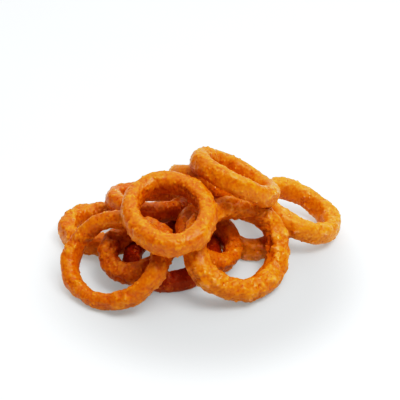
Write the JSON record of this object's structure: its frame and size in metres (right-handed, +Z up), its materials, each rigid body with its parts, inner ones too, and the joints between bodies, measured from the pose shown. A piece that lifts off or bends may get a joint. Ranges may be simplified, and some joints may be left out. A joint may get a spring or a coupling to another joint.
{
  "type": "onion rings side",
  "caption": "Loose pile of battered, deep-fried onion rings, some lying flat and some leaning on each other, served as a side dish.",
  "frame": {"origin": "middle of the pile's box, on the surface that the pile lies on", "axes": "+X along the pile's long side, to the right as seen from the front; +Y to the back; +Z up"},
  "size_m": [0.2088, 0.1388, 0.0848],
  "materials": {
    "crust": "golden-orange fried batter, uneven, with a slight oily sheen"
  },
  "bodies": {
    "root": {"ring_far_left": "crust", "ring_low_middle": "crust", "ring_low_right": "crust", "ring_far_right": "crust", "ring_back_left": "crust", "ring_low_left": "crust", "ring_inner": "crust", "ring_back": "crust", "ring_front_right": "crust", "ring_front_left": "crust", "ring_top": "crust", "ring_front_top": "crust"}
  },
  "joints": []
}
